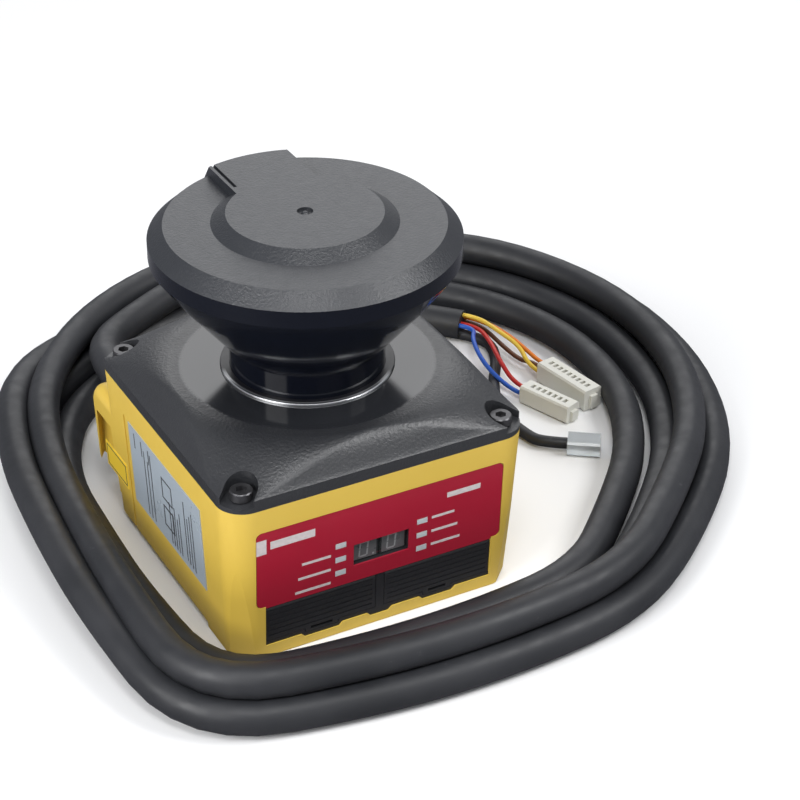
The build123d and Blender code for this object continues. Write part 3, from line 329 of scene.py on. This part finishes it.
dress(M["yellow"], "housing")
dress(M["cover"], "top_cover")
dress(M["cap"], "head_cap")
dress(M["window"], "optical_window")
dress(M["ring"], "window_ring")
dress(M["panel"], "front_panel")
dress(M["port"], "port_frame", "port_cover_left", "port_cover_right", "lens_barrel", "display_bezel")
dress(M["label"], "rating_label")
dress(M["sticker"], "side_sticker")
dress(M["screw"], "cover_screws")
dress(M["steel"], "frame_screws", "motor_bearings", "motor_shaft", "rotor_cup", "encoder_disc", "laser_diode")
dress(M["steel"], "photodiode", "main_board_screws", "display_board_screws", "config_socket")
dress(M["brass"], "mounting_inserts", "laser_tube")
dress(M["alu"], "head_frame", "mirror_hub")
dress(M["rubber"], "cover_gasket", "window_seal", "cable_gland")
dress(M["mirror"], "scan_mirror")
dress(M["lens"], "receiver_lens")
dress(M["board"], "motor_board", "receiver_board", "main_board", "display_board", "port_board")
dress(M["chip"], "encoder_sensor", "main_board_chips", "gland_nut")
dress(M["copper"], "motor_stator")
dress(M["magnet"], "rotor_magnet")
dress(M["digit"], "digit_left", "digit_right")
dress(M["light"], "light_pipes")
dress(M["white"], "service_socket", "connector_long", "connector_short")
dress(M["clear"], "end_plug")


# Flat prints, in millimetres: no words or marks, only plain bars, squares and two zeros. The
# housing's sizes and the heights of the indicator rows are those of the part's source.

BODY_HALF, TAPER, RIM_Z = 40.0, 1.86, 43.9
LIGHT_H = (26.8, 22.7, 18.7)
# How far each print's outer face lies outside its plane
PANEL_OUT, DIGIT_OUT, SEGMENT_OUT, LABEL_OUT = -0.03, -1.37, -1.33, 0.23
# Bars in place of the words beside the indicators: lengths, place, height, and how far they lie
# below the row's own height at the left and at the right, where they are shorter
WORD_L = (7.6, 8.6, 9.4)
WORD_X, WORD_H = 13.6, 0.75
WORD_DROP_LEFT, WORD_DROP_RIGHT, WORD_SHORTER = 2.6, 0.2, 1.4
# Bars as left edge, lower edge, width and height
PANEL_BARS = ((17.6, 31.6, 9.2, 1.5), (-33.0, 31.0, 2.6, 4.2), (-29.4, 32.0, 11.6, 2.2))
DIGIT_BARS = ((-6.9, 19.9, 6.2, 5.3), (0.7, 19.9, 6.2, 5.3))
ZEROS = ((-5.6, 20.4), (1.9, 20.4))
DIGIT_DOT = (-1.8, 20.3, 0.5, 0.5)
# The label's text lines run up the face. Each block of them: first line's place, rise from line to
# line, number of lines, longest line, how much shorter each next one is, and after how many lines
# the lengths repeat
TEXT_LOW, TEXT_LINE, TEXT_PITCH = 13.6, 0.45, 1.5
TEXT_BLOCKS = ((16.6, 0.3, 4, 17.5, 1.9, 3), (8.6, 0.0, 5, 12.5, 2.5, 2))
TEXT_BARS = ((-8.0, 13.5, 0.45, 20.0), (-10.0, 13.5, 0.45, 17.0), (-12.0, 13.5, 0.45, 19.0))
# Beside them are three short bars and two square marks
SHORT_BARS = ((-17.8, 30.0, 0.5, 4.4), (-13.4, 30.0, 0.5, 4.4), (-9.0, 30.0, 0.5, 4.4))
MARK_LINE = 0.5
MARK_FRAMES = ((-1.2, 25.2, 6.2, 6.2), (-1.2, 17.0, 6.2, 6.2))
STICKER_FRAME = (-39.4, 12.7, 12.8, 6.3)
STICKER_LINE = 0.35


def face_plane(origin, across, outward):
    """Places a print's (across, up, out) millimetres on a leaning face."""
    x, n = Vector(across), Vector(outward).normalized()
    y = n.cross(x)
    at = Vector(origin) * MM
    return Matrix(((x.x, y.x, n.x, at.x), (x.y, y.y, n.y, at.y), (x.z, y.z, n.z, at.z), (0, 0, 0, 1)))


FRONT = face_plane((0, TAPER - BODY_HALF, 0), (1, 0, 0), (0, -RIM_Z, -TAPER))
LEFT = face_plane((TAPER - BODY_HALF, 0, 0), (0, -1, 0), (-RIM_Z, 0, -TAPER))


def prints(name, plane, shapes, out, mat, thick=0.03):
    """One piece from flat outlines: each is a list of (across, up) corners in millimetres."""
    mesh = bpy.data.meshes.new(name)
    bm = bmesh.new()
    for shape in shapes:
        low = [bm.verts.new((x * MM, y * MM, (out - thick) * MM)) for x, y in shape]
        high = [bm.verts.new((x * MM, y * MM, out * MM)) for x, y in shape]
        bm.faces.new(high)
        bm.faces.new(low[::-1])
        for i in range(len(shape)):
            j = (i + 1) % len(shape)
            bm.faces.new((low[i], low[j], high[j], high[i]))
    bm.to_mesh(mesh)
    bm.free()
    mesh.materials.append(mat)
    ob = bpy.data.objects.new(name, mesh)
    ob.matrix_world = plane
    scene.collection.objects.link(ob)
    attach(ob, "base")


def bar(x, y, width, height):
    return [(x, y), (x + width, y), (x + width, y + height), (x, y + height)]


def frame_bars(x, y, width, height, line):
    return [
        bar(x, y, width, line),
        bar(x, y + height - line, width, line),
        bar(x, y + line, line, height - 2 * line),
        bar(x + width - line, y + line, line, height - 2 * line),
    ]


def digit_zero(x, y, slant=0.35):
    """Six of a seven-segment figure's segments, 2.5 wide and 4.4 high."""
    wide, high, line = 2.5, 4.4, 0.42
    side_gap, end_gap, middle_gap = 0.3, 0.25, 0.1
    parts = [bar(x + side_gap, low, wide - 2 * side_gap, line) for low in (y, y + high - line)]
    for left in (x, x + wide - line):
        for low in (y + end_gap, y + high / 2 + middle_gap):
            parts.append(bar(left, low, line, high / 2 - end_gap - middle_gap))
    return [[(px + slant * (py - y) / high, py) for px, py in part] for part in parts]


panel_prints = []
for height, length in zip(LIGHT_H, WORD_L):
    panel_prints.append(bar(-WORD_X - length, height - WORD_DROP_LEFT, length, WORD_H))
    panel_prints.append(bar(WORD_X, height - WORD_DROP_RIGHT, length - WORD_SHORTER, WORD_H))
panel_prints += [bar(*place) for place in PANEL_BARS]
prints("panel_prints", FRONT, panel_prints, PANEL_OUT, M["print_pale"])
prints("digit_faces", FRONT, [bar(*place) for place in DIGIT_BARS], DIGIT_OUT, M["digit_face"])
digits = [segment for place in ZEROS for segment in digit_zero(*place)] + [bar(*DIGIT_DOT)]
prints("digit_segments", FRONT, digits, SEGMENT_OUT, M["segment"])
label_marks = [bar(*place) for place in SHORT_BARS]
for x, rise, lines, longest, shorter, cycle in TEXT_BLOCKS:
    for i in range(lines):
        length = longest - shorter * (i % cycle)
        label_marks.append(bar(x - TEXT_PITCH * i, TEXT_LOW + rise * i, TEXT_LINE, length))
for place in MARK_FRAMES:
    label_marks += frame_bars(*place, MARK_LINE)
label_marks += [bar(*place) for place in TEXT_BARS]
prints("label_marks", LEFT, label_marks, LABEL_OUT, M["print_dark"])
prints("sticker_border", LEFT, frame_bars(*STICKER_FRAME, STICKER_LINE), LABEL_OUT, M["print_dark"])

# Cable, in millimetres, turned to metres when the curves are made. Its radius, the coil's centre and
# COIL_IN are those of the part's source, and its route keeps to the space of the part's coil.

CABLE_R = 4.4
COIL_X, COIL_Y = 22.0, 22.0
# Radius of the innermost strand round that centre, at equal angles from +X
COIL_IN = (85, 92, 96, 94, 91, 90, 85, 77, 75, 83, 97, 84, 76, 75, 68, 76)
PER_TURN = len(COIL_IN)
REAR = 4
# The spline runs inside its control points, so they lie this much further out
ROUND = 1.013
# Each turn of the cable: distance outside COIL_IN and height, at the same angles clockwise from
# the rear. The cable runs through the tables in this order, from its entry to its stripped end.
TOP = (
    (5, 13.2), (10, 13.2), (18, 12.0), (19.5, 10.8), (17.5, 11.2), (17, 11.6), (18, 12.0), (14.3, 12.0),
    (11.2, 12.0), (9.2, 12.0), (13.4, 12.3), (1.6, 13.2), (0.8, 12.2), (1.4, 12.2), (2.5, 12.8), (6, 13.9),
)
OUTER = (
    (14, 13.4), (20.5, 7.5), (26, 4.4), (27.5, 4.4), (24.5, 4.4), (24.5, 4.4), (24.5, 4.4), (19, 4.4),
    (15.4, 4.4), (13.4, 4.4), (17.0, 4.5), (9.6, 9.9), (9.2, 11.6), (10.0, 12.2), (11.2, 11.6), (10, 5.2),
)
MIDDLE = (
    (9.6, 4.4), (9.8, 4.4), (12.5, 4.4), (13, 4.4), (11, 4.4), (11, 4.4), (13.5, 4.4), (10, 4.4),
    (6.9, 4.4), (4.9, 4.4), (9.3, 4.4), (3.9, 4.4), (4.8, 4.4), (7.0, 4.4), (5, 4.4), (0, 4.4),
)
INNER = (
    (0, 4.4), (0, 4.4), (0, 4.4), (0.5, 4.4), (0, 4.4), (0.5, 4.4), (3.5, 4.4), (1, 4.4),
    (-2, 4.4), (-4, 4.4), (0.4, 4.4), (-5, 4.4), (-4, 4.4), (-2, 4.4), (-5.5, 4.4), (-11, 4.4),
)
LEAD = ((-24, 63, 18.5), (-24, 76, 18.5), (-20, 90, 15.2), (-11.5, 101.0, 13.2))
TAIL = ((20, 101, 4.4), (44, 99, 4.4), (62, 91.5, 4.4), (76, 81, 4.4), (85, 71, 4.4))


def coil_points():
    points = []
    for turn in (TOP, OUTER, MIDDLE, INNER):
        for step, (out, height) in enumerate(turn):
            i = (REAR - step) % PER_TURN
            angle = math.radians(360 / PER_TURN * i)
            r = (COIL_IN[i] + out) * ROUND
            points.append((COIL_X + r * math.cos(angle), COIL_Y + r * math.sin(angle), height))
    return points


def curve_piece(name, points, radius, mat, steps=8):
    """Tube along one smooth open spline: control points in millimetres, steps between two of them."""
    data = bpy.data.curves.new(name, "CURVE")
    data.dimensions = "3D"
    data.bevel_depth = radius * MM
    data.bevel_resolution = 5
    data.use_fill_caps = True
    spline = data.splines.new("NURBS")
    spline.points.add(len(points) - 1)
    for point, place in zip(spline.points, points):
        point.co = (place[0] * MM, place[1] * MM, place[2] * MM, 1)
    spline.order_u = 3
    spline.use_endpoint_u = True
    spline.resolution_u = steps
    data.materials.append(mat)
    ob = bpy.data.objects.new(name, data)
    scene.collection.objects.link(ob)
    return ob


def spline_length(ob):
    """Length of the piece's own centreline, in metres."""
    plain = ob.copy()
    plain.data = ob.data.copy()
    plain.data.bevel_depth = 0
    mesh = bpy.data.meshes.new_from_object(plain)
    places = [v.co for v in mesh.vertices]
    total = sum((places[e.vertices[0]] - places[e.vertices[1]]).length for e in mesh.edges)
    bpy.data.meshes.remove(mesh)
    bpy.data.objects.remove(plain)
    return total


cable_route = [*LEAD, *coil_points(), *TAIL]
cable = curve_piece("cable", cable_route, CABLE_R, M["sheath"], steps=6)
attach(cable, "base")
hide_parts("cable_lead", "cable_coil", "cable_tail")
spline_length(cable)

# Wires and the thin cable at the sheath's end, in millimetres as in the part's source

TAIL_END = Vector(TAIL[-1])
TAIL_DIR = (Vector(TAIL[-1]) - Vector(TAIL[-2])).normalized()
# Each connector's place, turn in degrees, length and height
CONNECTORS = {
    "connector_long": ((96.6, 30.0), -80.0, 20.0, 6.4),
    "connector_short": ((87.0, 25.0), -70.0, 17.0, 5.4),
}
# Each wire's place sideways and up in the sheath's end, its points on the way, its connector and
# its place across that
WIRES = {
    "wire_orange": ((2.1, 1.6), ((93.6, 58.5, 5.2), (95.2, 49, 3.6)), "connector_long", 1.9),
    "wire_brown": ((2.7, -0.4), ((91.2, 57, 2.4), (92.0, 48.6, 2.2)), "connector_long", 0.0),
    "wire_yellow": ((0.9, 2.9), ((89.4, 58.6, 8.0), (92.0, 49.6, 6.6)), "connector_long", -1.9),
    "wire_red": ((-0.9, 0.9), ((86.4, 57.5, 6.2), (83.6, 46.5, 5.4)), "connector_short", 1.5),
    "wire_blue": ((-2.6, 1.2), ((81.0, 58.4, 7.4), (78.6, 47.4, 5.6)), "connector_short", -1.5),
}
WIRE_R = 0.65
# A wire leaves the sheath and meets its connector straight, and ends behind the connector at a
# share of its height
WIRE_OUT, WIRE_IN = 5.0, 4.5
WIRE_BEHIND, WIRE_LEVEL = 0.9, 0.45
SUB_R = 1.6
SUB_OUT, SUB_IN = 8.0, 6.5
SUB_START = (-1.5, -2.3)
SUB_MIDDLE = ((87.2, 54.0, 1.8), (78.0, 41.0, 1.8), (72.5, 27.0, 1.7), (73.5, 13.0, 1.8))
PLUG_AT, PLUG_TURN = (84.5, 2.5), -35.0
PLUG_L, PLUG_H = 9.0, 4.4


def sheath_point(sideways, high, ahead=0.0):
    across = Vector((-TAIL_DIR.y, TAIL_DIR.x, 0))
    return tuple(TAIL_END + across * sideways + Vector((0, 0, high)) + TAIL_DIR * ahead)


def connector_point(name, along, across, height):
    (x, y), turn = CONNECTORS[name][:2]
    c, s = math.cos(math.radians(turn)), math.sin(math.radians(turn))
    return (x + along * c - across * s, y + along * s + across * c, height)


def plug_point(behind):
    c, s = math.cos(math.radians(PLUG_TURN)), math.sin(math.radians(PLUG_TURN))
    along = -PLUG_L / 2 - behind
    return (PLUG_AT[0] + along * c, PLUG_AT[1] + along * s, PLUG_H / 2)


for wire_name, ((sideways, high), middle, target, across) in WIRES.items():
    connector_length, connector_height = CONNECTORS[target][2:]
    end = -connector_length / 2 - WIRE_BEHIND
    level = connector_height * WIRE_LEVEL
    route = [
        sheath_point(sideways, high),
        sheath_point(sideways, high, WIRE_OUT),
        *middle,
        connector_point(target, end - WIRE_IN, across, level),
        connector_point(target, end, across, level),
    ]
    wire = curve_piece(wire_name + "_run", route, WIRE_R, M[wire_name])
    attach(wire, "base")
    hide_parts(wire_name)
    spline_length(wire)

sub_route = [
    sheath_point(*SUB_START),
    sheath_point(*SUB_START, SUB_OUT),
    *SUB_MIDDLE,
    plug_point(SUB_IN),
    plug_point(0),
]
sub = curve_piece("thin_cable", sub_route, SUB_R, M["sheath"])
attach(sub, "base")
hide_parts("sub_cable")
spline_length(sub)


# Floor, world and lights, in metres

FLOOR_HALF, FLOOR_Z = 3.0, -0.0002
FLOOR_WHITE = (0.93, 0.93, 0.93)
# Colour the floor shows in glossy reflections only: a painted dark reflection
FLOOR_PAINTED_REFLECTION = (0.16, 0.16, 0.18)
# Between these distances from the middle, where the lights' reach ends, the floor turns to glowing
GLOW_FROM, GLOW_TO = 0.25, 0.6
WORLD_LIT, WORLD_STRENGTH = (0.9, 0.93, 1.0), 0.3


def pick_shader(tree, factor, shader_a, shader_b, target):
    """Mixes two shaders into an output node's surface."""
    pick = add(tree, "ShaderNodeMixShader")
    tree.links.new(factor, pick.inputs["Fac"])
    tree.links.new(shader_a.outputs[0], pick.inputs[1])
    tree.links.new(shader_b.outputs[0], pick.inputs[2])
    tree.links.new(pick.outputs[0], target.inputs["Surface"])


def floor_material():
    """White top, dark in glossy pieces as a painted reflection. Far off, the camera sees it as white as the
    background.
    """
    mat = material("floor_white", FLOOR_WHITE, 0.6)
    tree = mat.node_tree
    path = add(tree, "ShaderNodeLightPath")
    # Painted reflection: glossy rays see the floor dark
    color = mix_colors(tree, path.outputs["Is Glossy Ray"], FLOOR_WHITE, FLOOR_PAINTED_REFLECTION)
    feed(mat, "Base Color", color)
    far = add(tree, "ShaderNodeVectorMath", operation="LENGTH")
    tree.links.new(object_coords(tree), far.inputs[0])
    glow = remap(tree, far.outputs["Value"], GLOW_FROM, GLOW_TO, 0, 1)
    glow = math_node(tree, "MULTIPLY", glow, path.outputs["Is Camera Ray"])
    white = add(tree, "ShaderNodeEmission")
    pick_shader(tree, glow, tree.nodes["Principled BSDF"], white, tree.nodes["Material Output"])
    return mat


def floor_piece():
    mesh = bpy.data.meshes.new("floor")
    bm = bmesh.new()
    bmesh.ops.create_grid(bm, x_segments=1, y_segments=1, size=FLOOR_HALF)
    bm.to_mesh(mesh)
    bm.free()
    mesh.materials.append(floor_material())
    ob = bpy.data.objects.new("floor", mesh)
    ob.location.z = FLOOR_Z
    scene.collection.objects.link(ob)
    return ob


def background(tree, color, strength):
    node = add(tree, "ShaderNodeBackground")
    node.inputs["Color"].default_value = (*color, 1)
    node.inputs["Strength"].default_value = strength
    return node


def studio_world():
    """Plain white for the camera and through clear pieces, and dim bluish light for all else."""
    world = bpy.data.worlds.new("world")
    world.use_nodes = True
    tree = world.node_tree
    tree.nodes.clear()
    path = add(tree, "ShaderNodeLightPath")
    seen = math_node(tree, "MAXIMUM", path.outputs["Is Camera Ray"], path.outputs["Is Transmission Ray"])
    lit = background(tree, WORLD_LIT, WORLD_STRENGTH)
    white = background(tree, (1, 1, 1), 1.0)
    pick_shader(tree, seen, lit, white, add(tree, "ShaderNodeOutputWorld"))
    return world


floor_piece()
scene.world = studio_world()


def area_light(name, place, aim, size, power):
    data = bpy.data.lights.new(name, "AREA")
    data.energy = power
    data.size = size
    ob = bpy.data.objects.new(name, data)
    ob.location = place
    ob.rotation_euler = (Vector(aim) - Vector(place)).to_track_quat("-Z", "Y").to_euler()
    scene.collection.objects.link(ob)


area_light("key", (-0.75, -0.22, 0.46), (0, 0, 0.04), 0.45, 6.5)
area_light("front", (-0.18, -0.42, 0.88), (0, 0, 0.05), 0.3, 3.0)
area_light("side", (0.6, -0.45, 0.78), (0, 0, 0.05), 0.4, 4.8)
area_light("fill", (0.1, -0.95, 0.34), (0, 0, 0.02), 0.6, 0.7)
area_light("rear", (0.45, 0.85, 0.62), (0, 0, 0.06), 0.9, 3.9)
